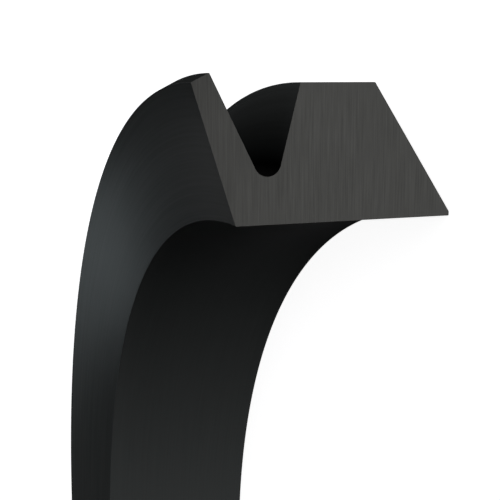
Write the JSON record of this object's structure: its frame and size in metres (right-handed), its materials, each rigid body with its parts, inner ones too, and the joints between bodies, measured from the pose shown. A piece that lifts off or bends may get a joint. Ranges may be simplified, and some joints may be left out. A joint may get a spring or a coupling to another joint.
{
  "type": "v ring seal",
  "caption": "Rubber V ring shaft seal with a slanted back and a flexible axial lip, cut open to show its section.",
  "frame": {"origin": "centre of the bore, level with the bore's back edge that the ring lies on", "axes": "+Z along the bore's axis from the back towards the lip, -Y through the middle of the window cut out of the ring"},
  "size_m": [0.076, 0.0709, 0.0124],
  "materials": {
    "rubber": "matte moulded surface with a lighter, finely streaked cut face"
  },
  "bodies": {
    "root": {"v_ring": "rubber"}
  },
  "joints": []
}
